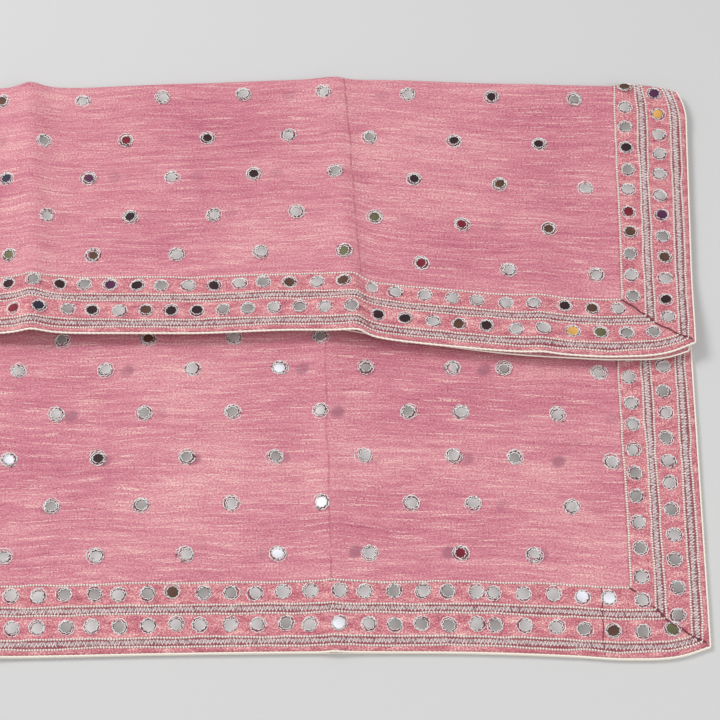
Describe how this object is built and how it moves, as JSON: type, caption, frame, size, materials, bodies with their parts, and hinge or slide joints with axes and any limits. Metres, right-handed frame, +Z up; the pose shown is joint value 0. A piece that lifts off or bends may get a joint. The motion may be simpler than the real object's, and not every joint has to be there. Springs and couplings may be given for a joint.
{
  "type": "dupatta stole",
  "caption": "Mirror-work dupatta stole folded flat: crushed tissue cloth with banded borders and a corded edge, its far third turned forward as a flap over a deeper panel.",
  "frame": {"origin": "centre of the folded stole's outline, on the surface that it lies on", "axes": "+X along the folded length to the cut ends, +Y across from the near hem to the long fold, +Z up from the surface"},
  "size_m": [1.2311, 0.5971, 0.0261],
  "materials": {
    "tissue_cloth": "pink crushed tissue silk with a gold lustre",
    "under_cloth": "the same tissue silk, in the layers out of sight",
    "border_ribbon": "the same tissue silk, laid on as a band and crowded with thread work",
    "edge_cord": "cream twisted piping cord",
    "mirror": "silver foil mirror",
    "silver_thread": "silver embroidery thread",
    "cream_braid": "cream beaded braid"
  },
  "bodies": {
    "root": {"hidden_layers": "under_cloth", "panel_cloth": "tissue_cloth", "flap_cloth": "tissue_cloth", "panel_hem_border": "border_ribbon", "panel_end_border": "border_ribbon", "flap_hem_border": "border_ribbon", "flap_end_border": "border_ribbon", "panel_cord": "edge_cord", "flap_cord": "edge_cord", "under_flap_cord": "edge_cord", "under_panel_cord": "edge_cord"}
  },
  "joints": []
}
